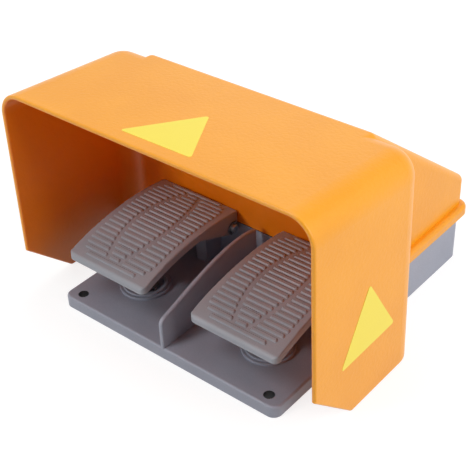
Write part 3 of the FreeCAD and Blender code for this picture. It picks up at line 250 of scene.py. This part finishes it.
spring_steel = bare_metal("oiled_spring_steel", "#6d6e70", "#8b8c8e", roughness=0.34, streak_mm=0.8)
for hand in ("left", "right"):
    low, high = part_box(hand + "_return_spring")
    verts, faces = tube(coil_path(low, high), SPRING_WIRE_R, WIRE_SIDES)
    spring = mesh_piece(hand + "_coiled_spring", verts, faces, spring_steel)
    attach(spring, "housing")
    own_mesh(spring)
    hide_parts(hand + "_return_spring")

# Hinge pins and circlips
# Each pedal turns on a 6 mm turned steel pin, zinc plated and fairly bright.
# A stamped spring-steel clip in a groove at each end keeps the pin in its cheeks.
zinc_plate = bare_metal("bright_zinc_plated_steel", "#b4b6ba", "#d0d2d6", roughness=0.3, streak_mm=1.2)
for hand in ("left", "right"):
    dress(hand + "_hinge_pin", zinc_plate)
dress("circlips", spring_steel)

# Pedals
# Aluminium castings with a crowned tread, ribs and a spring cup below and a tail into the housing.
# The same stoved coat as the base in a warmer and slightly glossier grey, without wear.
pedal_coat = powder_coat("warm_grey_powder_coat_on_casting", "#9699a1", "#a0a3ab", roughness=0.42,
                         peel_mm=1.3, peel_depth_mm=0.045, grit_mm=0.5, grit_depth_mm=0.03)
for hand in ("left", "right"):
    dress(hand + "_pedal", pedal_coat)

# Tread bars
# Raised grip bars cast on each pedal: 21 rows, split in three columns by two bowed gaps.
# Each is drafted on both sides, its edges softened by the coat and its ends domed.
BAR_ROWS = 21
BAR_PITCH = 4.23 * MM
BAR_WIDTH = 3.3 * MM
BAR_TOP_WIDTH = 1.95 * MM
BAR_HEIGHT = 0.96 * MM
BAR_SUNK = 0.3 * MM
BAR_EDGE_R = 0.3 * MM
BAR_EDGE_STEPS = 3
BAR_END_ROUND = 1.0 * MM
BAR_REAR_MARGIN = 2.5 * MM
BAR_SEAM = 0.01 * MM
PEDAL_REAR_FROM_PIN = 5.3 * MM
TREAD_HALF_WIDTH = 29.2 * MM
TREAD_CORNER_R = 14.0 * MM
TREAD_GAP = 2.4 * MM
TREAD_GAP_BULGE = 13.9 * MM
TREAD_GAP_R = 91.7 * MM
CROWN_R = 186.5 * MM
CROWN_RISE = 12.9 * MM
CROWN_SETBACK = 23.3 * MM
END_STEPS = (0.0, 0.04, 0.15, 0.35, 0.65, 1.0)


def bar_spans(y, first, last):
    """Start and end across the pedal of each bar in the row at y."""
    edge = min(y - first, last - y) + BAR_WIDTH / 2
    dip = max(TREAD_CORNER_R - edge, 0)
    reach = TREAD_HALF_WIDTH - TREAD_CORNER_R + math.sqrt(TREAD_CORNER_R ** 2 - dip ** 2)
    if y in (first, last):
        return [(-reach, reach)]
    middle = (first + last) / 2
    gap = TREAD_GAP_BULGE - TREAD_GAP_R + math.sqrt(TREAD_GAP_R ** 2 - (y - middle) ** 2)
    half = TREAD_GAP / 2
    return [(-reach, -gap - half), (half - gap, gap - half), (gap + half, reach)]


def bar_lines(pin):
    """Points and edges of one chain along each bar, lying on the crown."""
    points = []
    edges = []
    last = pin.y + PEDAL_REAR_FROM_PIN - BAR_REAR_MARGIN
    first = last - BAR_PITCH * (BAR_ROWS - 1)
    for row in range(BAR_ROWS):
        y = last - BAR_PITCH * (BAR_ROWS - 1 - row)
        rise = math.sqrt(CROWN_R ** 2 - (y - pin.y + CROWN_SETBACK) ** 2)
        z = pin.z + CROWN_RISE - CROWN_R + rise
        for start, end in bar_spans(y, first, last):
            steps = [start + BAR_END_ROUND * step for step in END_STEPS]
            steps += [end - BAR_END_ROUND * step for step in reversed(END_STEPS)]
            base = len(points)
            points += [(pin.x + x, y, z) for x in steps]
            edges += [(base + k, base + k + 1) for k in range(len(steps) - 1)]
    return points, edges


def tread_tree():
    """Geometry Nodes tree that sweeps a drafted section, domed at both ends, along each chain."""
    tree = bpy.data.node_groups.new("tread_bars_on_lines", "GeometryNodeTree")
    foot_width = BAR_WIDTH + (BAR_WIDTH - BAR_TOP_WIDTH) * BAR_SUNK / BAR_HEIGHT
    sizes = {"Foot width": foot_width, "Top width": BAR_TOP_WIDTH, "Height": BAR_HEIGHT,
             "Sunk": BAR_SUNK, "Edge radius": BAR_EDGE_R, "End round": BAR_END_ROUND}
    tree.interface.new_socket("Geometry", in_out="INPUT", socket_type="NodeSocketGeometry")
    for name, size in sizes.items():
        socket = tree.interface.new_socket(name, in_out="INPUT", socket_type="NodeSocketFloat")
        socket.default_value = size
    tree.interface.new_socket("Finish", in_out="INPUT", socket_type="NodeSocketMaterial")
    tree.interface.new_socket("Geometry", in_out="OUTPUT", socket_type="NodeSocketGeometry")
    given = tree.nodes.new("NodeGroupInput").outputs
    lines = add_node(tree, "GeometryNodeMeshToCurve", {"Mesh": given["Geometry"]})
    upright = add_node(tree, "GeometryNodeSetCurveNormal", {"Curve": lines.outputs[0]}, mode="Z_UP")

    # The section shrinks over the last stretch of each end like a quarter circle, which domes it.
    along = add_node(tree, "GeometryNodeSplineParameter").outputs["Length"]
    whole = add_node(tree, "GeometryNodeSplineLength").outputs["Length"]
    behind = add_node(tree, "ShaderNodeMath", {0: whole, 1: along}, operation="SUBTRACT").outputs[0]
    nearest = add_node(tree, "ShaderNodeMath", {0: along, 1: behind}, operation="MINIMUM").outputs[0]
    share = add_node(tree, "ShaderNodeMath", {0: nearest, 1: given["End round"]},
                     operation="DIVIDE", use_clamp=True).outputs[0]
    rest = add_node(tree, "ShaderNodeMath", {0: 1.0, 1: share}, operation="SUBTRACT").outputs[0]
    square = add_node(tree, "ShaderNodeMath", {0: rest, 1: rest}, operation="MULTIPLY").outputs[0]
    under = add_node(tree, "ShaderNodeMath", {0: 1.0, 1: square},
                     operation="SUBTRACT", use_clamp=True).outputs[0]
    dome = add_node(tree, "ShaderNodeMath", {0: under, 1: 0.5}, operation="POWER").outputs[0]

    # The section is a wedge with its foot sunk in the plate and its edges rounded.
    up = {0: given["Height"], 1: given["Sunk"]}
    tall = add_node(tree, "ShaderNodeMath", up, operation="ADD").outputs[0]
    over = add_node(tree, "ShaderNodeMath", up, operation="SUBTRACT").outputs[0]
    middle = add_node(tree, "ShaderNodeMath", {0: over, 1: 0.5}, operation="MULTIPLY").outputs[0]
    wedge = add_node(tree, "GeometryNodeCurvePrimitiveQuadrilateral", {
        "Height": tall, "Bottom Width": given["Foot width"], "Top Width": given["Top width"],
        "Offset": 0.0}, mode="TRAPEZOID")
    soft = add_node(tree, "GeometryNodeFilletCurve", {
        "Curve": wedge.outputs[0], "Radius": given["Edge radius"], "Count": BAR_EDGE_STEPS},
        mode="POLY")
    raised = add_node(tree, "ShaderNodeCombineXYZ", {"Y": middle}).outputs[0]
    section = add_node(tree, "GeometryNodeTransform", {
        "Geometry": soft.outputs[0], "Translation": raised})

    swept = add_node(tree, "GeometryNodeCurveToMesh", {
        "Curve": upright.outputs[0], "Profile Curve": section.outputs[0], "Scale": dome})
    closed = add_node(tree, "GeometryNodeMergeByDistance", {
        "Geometry": swept.outputs[0], "Distance": BAR_SEAM})
    smooth = add_node(tree, "GeometryNodeSetShadeSmooth", {"Geometry": closed.outputs[0]})
    real = add_node(tree, "GeometryNodeRealizeInstances", {"Geometry": smooth.outputs[0]})
    coated = add_node(tree, "GeometryNodeSetMaterial", {
        "Geometry": real.outputs[0], "Material": given["Finish"]})
    add_node(tree, "NodeGroupOutput", {"Geometry": coated.outputs[0]})
    return tree


def grown(name, seed_mesh, tree, choices):
    """Runs a Geometry Nodes tree on a mesh and keeps its result as a plain mesh piece."""
    seed = bpy.data.objects.new(name + "_seed", seed_mesh)
    bpy.context.scene.collection.objects.link(seed)
    modifier = seed.modifiers.new("grow", "NODES")
    modifier.node_group = tree
    for item in tree.interface.items_tree:
        if item.in_out == "INPUT" and item.name in choices:
            modifier[item.identifier] = choices[item.name]
    evaluated = seed.evaluated_get(bpy.context.evaluated_depsgraph_get())
    mesh = bpy.data.meshes.new_from_object(evaluated)
    mesh.name = name
    seed.modifiers.remove(modifier)
    bpy.data.objects.remove(seed)
    piece = bpy.data.objects.new(name, mesh)
    bpy.context.scene.collection.objects.link(piece)
    return piece


bars_tree = tread_tree()
for hand in ("left", "right"):
    pin_low, pin_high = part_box(hand + "_hinge_pin")
    points, edges = bar_lines((pin_low + pin_high) / 2)
    lines = bpy.data.meshes.new(hand + "_tread_lines")
    lines.from_pydata(points, edges, [])
    bars = grown(hand + "_tread_bars", lines, bars_tree, {"Finish": pedal_coat})
    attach(bars, hand + "_pedal_lever")

# Adjusting screws, lock nuts and rest stops
# Zinc plated hexagon screws in the pedals' tails, each held by a lock nut.
# The tails lie on moulded rubber stops, which look dull and nearly black.


def moulded(name, low, high, roughness, grain_mm, depth_mm):
    """Moulded plastic or rubber: an even colour with the fine grain of its mould."""
    # Real mould grain is 0.1 to 0.3 mm across, too fine to show, so it is drawn at about 1 mm.
    material, tree = new_material(name)
    place = add_node(tree, "ShaderNodeTexCoord").outputs["Object"]
    grain = add_node(tree, "ShaderNodeTexNoise", {
        "Vector": place, "Scale": 1 / (grain_mm * MM), "Detail": 2.0}).outputs["Fac"]
    bump = add_node(tree, "ShaderNodeBump", {"Height": grain, "Distance": depth_mm * MM})
    shader = add_node(tree, "ShaderNodeBsdfPrincipled", {
        "Base Color": blend_colours(tree, grain, linear(low), linear(high)),
        "Roughness": roughness, "IOR": 1.5, "Normal": bump.outputs["Normal"]})
    add_node(tree, "ShaderNodeOutputMaterial", {"Surface": shader.outputs["BSDF"]})
    return material


black_rubber = moulded("moulded_black_rubber", "#1d1d1e", "#29292a", roughness=0.68,
                       grain_mm=0.7, depth_mm=0.03)
for hand in ("left", "right"):
    dress(hand + "_adjusting_screw", zinc_plate)
    dress(hand + "_lock_nut", zinc_plate)
dress("rest_bumpers", black_rubber)

# Switches on their bracket
# Snap-action switches in satin black phenolic cases, screwed to a bent, zinc plated steel angle.
# Their plungers are smooth red acetal with a waxy shine, their tabs stamped from yellow brass.
black_phenolic = moulded("black_phenolic_moulding", "#1b1b1d", "#262628", roughness=0.42,
                         grain_mm=1.0, depth_mm=0.012)
red_acetal = moulded("red_acetal_moulding", "#a51c17", "#b8251d", roughness=0.3,
                     grain_mm=1.5, depth_mm=0.006)
brass = bare_metal("stamped_brass", "#c39a4e", "#dab56a", roughness=0.28, streak_mm=1.0)
for hand in ("left", "right"):
    dress(hand + "_switch_body", black_phenolic)
    dress(hand + "_switch_plunger", red_acetal)
for name in ("switch_bracket", "switch_screws", "switch_nuts", "floor_screws"):
    dress(name, zinc_plate)
dress("switch_terminals", brass)

# Terminal block and earth screw
# A six-way block moulded in natural nylon, milky and satin, with zinc plated clamp screws.
# The earth screw is brass, on a zinc plated washer.
natural_nylon = moulded("natural_nylon_moulding", "#d8d4c6", "#e3dfd2", roughness=0.45,
                        grain_mm=1.0, depth_mm=0.01)
dress("terminal_block", natural_nylon)
dress("clamp_screws", zinc_plate)
dress("earth_washer", zinc_plate)
dress("earth_screw", brass)

# Seals and cover screws
# A flat rubber gasket on the tray's rim and a rubber strip along its front wall.
# Four zinc plated socket screws from below pull the cover down onto them.
dress("cover_gasket", black_rubber)
dress("lip_seal", black_rubber)
dress("cover_screws", zinc_plate)

# Guard cover
# Hood, back wall, sloping housing and rim in one thin aluminium casting.
# Stoved in a safety-orange powder coat with a soft sheen and a light orange-peel ripple.
# The faces that look into the hood are painted a deeper orange, a painted shade that stands in for the
# orange light bouncing inside it.
HOOD_DEPTH = 115.0 * MM
HOOD_MIDDLE_DEPTH = 50.0 * MM
HOOD_MIDDLE_HEIGHT = 70.0 * MM


def inner_side(tree, centre, back):
    """1 on faces before a depth that look towards a centre, where the painted deeper orange goes, 0 on all
    others.
    """
    there = add_node(tree, "ShaderNodeTexCoord").outputs
    offset = add_node(tree, "ShaderNodeVectorMath", {0: there["Object"], 1: centre},
                      operation="SUBTRACT").outputs[0]
    facing = add_node(tree, "ShaderNodeVectorMath", {0: there["Normal"], 1: offset},
                      operation="DOT_PRODUCT").outputs["Value"]
    inward = add_node(tree, "ShaderNodeMath", {0: facing, 1: 0.0}, operation="LESS_THAN").outputs[0]
    depth = add_node(tree, "ShaderNodeSeparateXYZ", {0: there["Object"]}).outputs["Y"]
    before = add_node(tree, "ShaderNodeMath", {0: depth, 1: back}, operation="LESS_THAN").outputs[0]
    return add_node(tree, "ShaderNodeMath", {0: inward, 1: before}, operation="MULTIPLY").outputs[0]


cover_low, cover_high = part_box("guard_cover")
hood_front = cover_low.y
hood_middle = (0, hood_front + HOOD_MIDDLE_DEPTH, HOOD_MIDDLE_HEIGHT)
orange_coat = powder_coat("orange_powder_coat_on_casting", "#f19d10", "#f6a419", roughness=0.34,
                          peel_mm=2.2, peel_depth_mm=0.16, grit_mm=0.6, grit_depth_mm=0.035)
# A deeper orange is painted on the hood's inner faces, as painted shade for its orange bounce light.
painted_bounce_inside_hood = inner_side(orange_coat.node_tree, hood_middle, hood_front + HOOD_DEPTH)
recolour(orange_coat, painted_bounce_inside_hood, "#f7850a")
dress("guard_cover", orange_coat)

# Plain patches
# Two self-adhesive vinyl triangles with rounded corners, a smooth satin yellow with nothing on it.
# One lies on top of the hood, one on its right-hand side.
PATCH_THICKNESS = 0.15 * MM
PATCH_CORNER_R = 1.5 * MM
CORNER_STEPS = 8
HOOD_FALL = 0.0766
HOOD_LEAN = 0.014
HOOD_EDGE_R = 1.2 * MM


def rounded_corner(before, corner, after):
    """Points of the arc that rounds one corner of a patch."""
    inward = (before - corner).normalized()
    outward = (after - corner).normalized()
    half_angle = inward.angle(outward) / 2
    reach = PATCH_CORNER_R / math.tan(half_angle)
    centre = corner + (inward + outward).normalized() * (PATCH_CORNER_R / math.sin(half_angle))
    start = (corner + inward * reach - centre).normalized()
    end = (corner + outward * reach - centre).normalized()
    turns = [start.slerp(end, step / CORNER_STEPS) for step in range(CORNER_STEPS + 1)]
    return [centre + turn * PATCH_CORNER_R for turn in turns]


def patch(name, corners, lift, material):
    """A thin plate with rounded corners that stands off its surface by its own thickness."""
    rim = []
    for k in range(3):
        rim += rounded_corner(corners[k - 1], corners[k], corners[(k + 1) % 3])
    count = len(rim)
    verts = rim + [point + lift * PATCH_THICKNESS for point in rim]
    faces = [tuple(reversed(range(count))), tuple(range(count, 2 * count))]
    faces += [(k, (k + 1) % count, (k + 1) % count + count, k + count) for k in range(count)]
    return mesh_piece(name, verts, faces, material, smooth=False)


def on_hood_top(x_mm, y_mm):
    """A point of the hood's top, its depth measured from the hood's front edge."""
    depth = y_mm * MM
    height = cover_high.z + HOOD_FALL * (HOOD_EDGE_R - depth)
    return Vector((x_mm * MM, hood_front + depth, height))


def on_hood_side(y_mm, z_mm):
    """A point of the hood's right-hand side, its depth measured from the hood's front edge."""
    height = z_mm * MM
    widest = cover_high.x + HOOD_LEAN * cover_low.z
    return Vector((widest - HOOD_LEAN * height, hood_front + y_mm * MM, height))


yellow_vinyl = moulded("plain_yellow_vinyl", "#f4dd40", "#f6e14a", roughness=0.35,
                       grain_mm=1.2, depth_mm=0.01)
top_corners = [on_hood_top(-24.4, 9.4), on_hood_top(28.7, 10.6), on_hood_top(2.5, 56.1)]
side_corners = [on_hood_side(24.2, 39.1), on_hood_side(78.7, 40.2), on_hood_side(51.5, 85.0)]
for name, corners in (("top_patch", top_corners), ("side_patch", side_corners)):
    lift = (corners[1] - corners[0]).cross(corners[2] - corners[0]).normalized()
    piece = patch(name, corners, lift, yellow_vinyl)
    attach(piece, "housing")

# Cable gland
# Gland body, nut and lock nut moulded in black nylon, satin with a fine grain.
# A dull rubber sleeve between body and nut grips the cable.
black_nylon = moulded("black_nylon_moulding", "#202022", "#2b2b2d", roughness=0.5,
                      grain_mm=0.9, depth_mm=0.015)
for name in ("gland_body", "gland_nut", "gland_locknut"):
    dress(name, black_nylon)
dress("gland_seal", black_rubber)

# Floor and backdrop
# A pale sweep that the camera sees as white far off, with the object's soft shadow on it.
# Only a part of that white falls back on the object, so that its colours stay as written.
FLOOR_HALF_WIDTH = 6.0
FLOOR_NEAR = 0.3
FLOOR_FAR = 1.0
FLOOR_GLOW_NEAR = 0.8
FLOOR_GLOW_FAR = 1.0
FLOOR_SHADOW_SHARE = 0.3
FLOOR_RETURN = 0.62
ROOM_FRONT = -0.1
ROOM_REAR = 0.6
ROOM_GLOW_FRONT = 0.05
ROOM_GLOW_REAR = 0.22
WHITE = (1, 1, 1, 1)


def seen_rays(tree):
    """1 for what the camera sees, directly or in a gloss, and 0 for light that falls on the object."""
    path = add_node(tree, "ShaderNodeLightPath").outputs
    direct = add_node(tree, "ShaderNodeMath", {0: path["Is Camera Ray"], 1: path["Is Glossy Ray"]},
                      operation="MAXIMUM").outputs[0]
    return add_node(tree, "ShaderNodeMath", {0: direct, 1: path["Is Transmission Ray"]},
                    operation="MAXIMUM").outputs[0]


floor_paint, tree = new_material("pale_floor")
spot = add_node(tree, "ShaderNodeNewGeometry").outputs["Position"]
distance = add_node(tree, "ShaderNodeVectorMath", {0: spot}, operation="LENGTH").outputs["Value"]
# The floor's own glow is painted weaker near the object, a painted shade round it that lets the real shadow
# still show.
floor_glow = add_node(tree, "ShaderNodeMapRange", {
    "Value": distance, "From Min": FLOOR_NEAR, "From Max": FLOOR_FAR,
    "To Min": FLOOR_GLOW_NEAR, "To Max": FLOOR_GLOW_FAR}).outputs["Result"]
own_light = add_node(tree, "ShaderNodeEmission", {"Color": WHITE, "Strength": floor_glow})
shaded = add_node(tree, "ShaderNodeBsdfDiffuse", {
    "Color": (FLOOR_SHADOW_SHARE, FLOOR_SHADOW_SHARE, FLOOR_SHADOW_SHARE, 1)})
seen = add_node(tree, "ShaderNodeAddShader", {0: own_light.outputs[0], 1: shaded.outputs[0]})
lit = add_node(tree, "ShaderNodeBsdfDiffuse", {"Color": (FLOOR_RETURN, FLOOR_RETURN, FLOOR_RETURN, 1)})
pick = add_node(tree, "ShaderNodeMixShader", {0: seen_rays(tree), 1: lit.outputs[0], 2: seen.outputs[0]})
add_node(tree, "ShaderNodeOutputMaterial", {"Surface": pick.outputs[0]})
floor_corners = [(x * FLOOR_HALF_WIDTH, y * FLOOR_HALF_WIDTH, 0)
                 for x, y in ((-1, -1), (1, -1), (1, 1), (-1, 1))]
floor = mesh_piece("floor", floor_corners, [(0, 1, 2, 3)], floor_paint)

world = bpy.data.worlds.new("studio")
bpy.context.scene.world = world
world.use_nodes = True
tree = world.node_tree
tree.nodes.clear()
way = add_node(tree, "ShaderNodeTexCoord").outputs["Generated"]
towards_rear = add_node(tree, "ShaderNodeSeparateXYZ", {0: way}).outputs["Y"]
room_glow = add_node(tree, "ShaderNodeMapRange", {
    "Value": towards_rear, "From Min": ROOM_FRONT, "From Max": ROOM_REAR,
    "To Min": ROOM_GLOW_FRONT, "To Max": ROOM_GLOW_REAR}, interpolation_type="SMOOTHSTEP").outputs["Result"]
room = add_node(tree, "ShaderNodeBackground", {"Color": WHITE, "Strength": room_glow})
white = add_node(tree, "ShaderNodeBackground", {"Color": WHITE, "Strength": 1.0})
pick = add_node(tree, "ShaderNodeMixShader", {0: seen_rays(tree), 1: room.outputs[0], 2: white.outputs[0]})
add_node(tree, "ShaderNodeOutputWorld", {"Surface": pick.outputs[0]})

# Lamps and camera
# Six square softboxes round the object, all aimed at its middle on the floor.
# The camera looks down from above the right front corner.
SOFTBOXES = (  # name, place in metres, width in metres, power in watts
    ("front_softbox", (-0.45, -0.95, 1.5), 0.7, 7.0),
    ("low_softbox", (-0.6, -1.5, 0.72), 0.35, 8.0),
    ("right_softbox", (1.58, 0.28, 0.95), 1.4, 27.0),
    ("rear_softbox", (-0.6, 1.5, 0.6), 1.3, 1.8),
    ("left_softbox", (-1.56, 0.0, 0.9), 0.9, 4.8),
    ("top_softbox", (-0.2, 0.3, 1.8), 0.9, 7.4),
)
CAMERA_LENS_MM = 82.4
CAMERA_SENSOR_MM = 36.0
CAMERA_PLACE_MM = (371.0, -464.3, 456.0)
CAMERA_TURN_DEGREES = (54.48, 2.01, 39.60)

for name, place, width, watts in SOFTBOXES:
    lamp = bpy.data.lights.new(name, "AREA")
    lamp.shape = "SQUARE"
    lamp.size = width
    lamp.energy = watts
    holder = bpy.data.objects.new(name, lamp)
    holder.location = place
    holder.rotation_euler = (-Vector(place)).to_track_quat("-Z", "Y").to_euler()
    bpy.context.scene.collection.objects.link(holder)

camera_data = bpy.data.cameras.new("camera")
camera_data.lens = CAMERA_LENS_MM
camera_data.sensor_width = CAMERA_SENSOR_MM
camera = bpy.data.objects.new("camera", camera_data)
camera.location = [place * MM for place in CAMERA_PLACE_MM]
camera.rotation_euler = [math.radians(turn) for turn in CAMERA_TURN_DEGREES]
bpy.context.scene.collection.objects.link(camera)
bpy.context.scene.camera = camera
bpy.context.scene.view_settings.view_transform = "Standard"
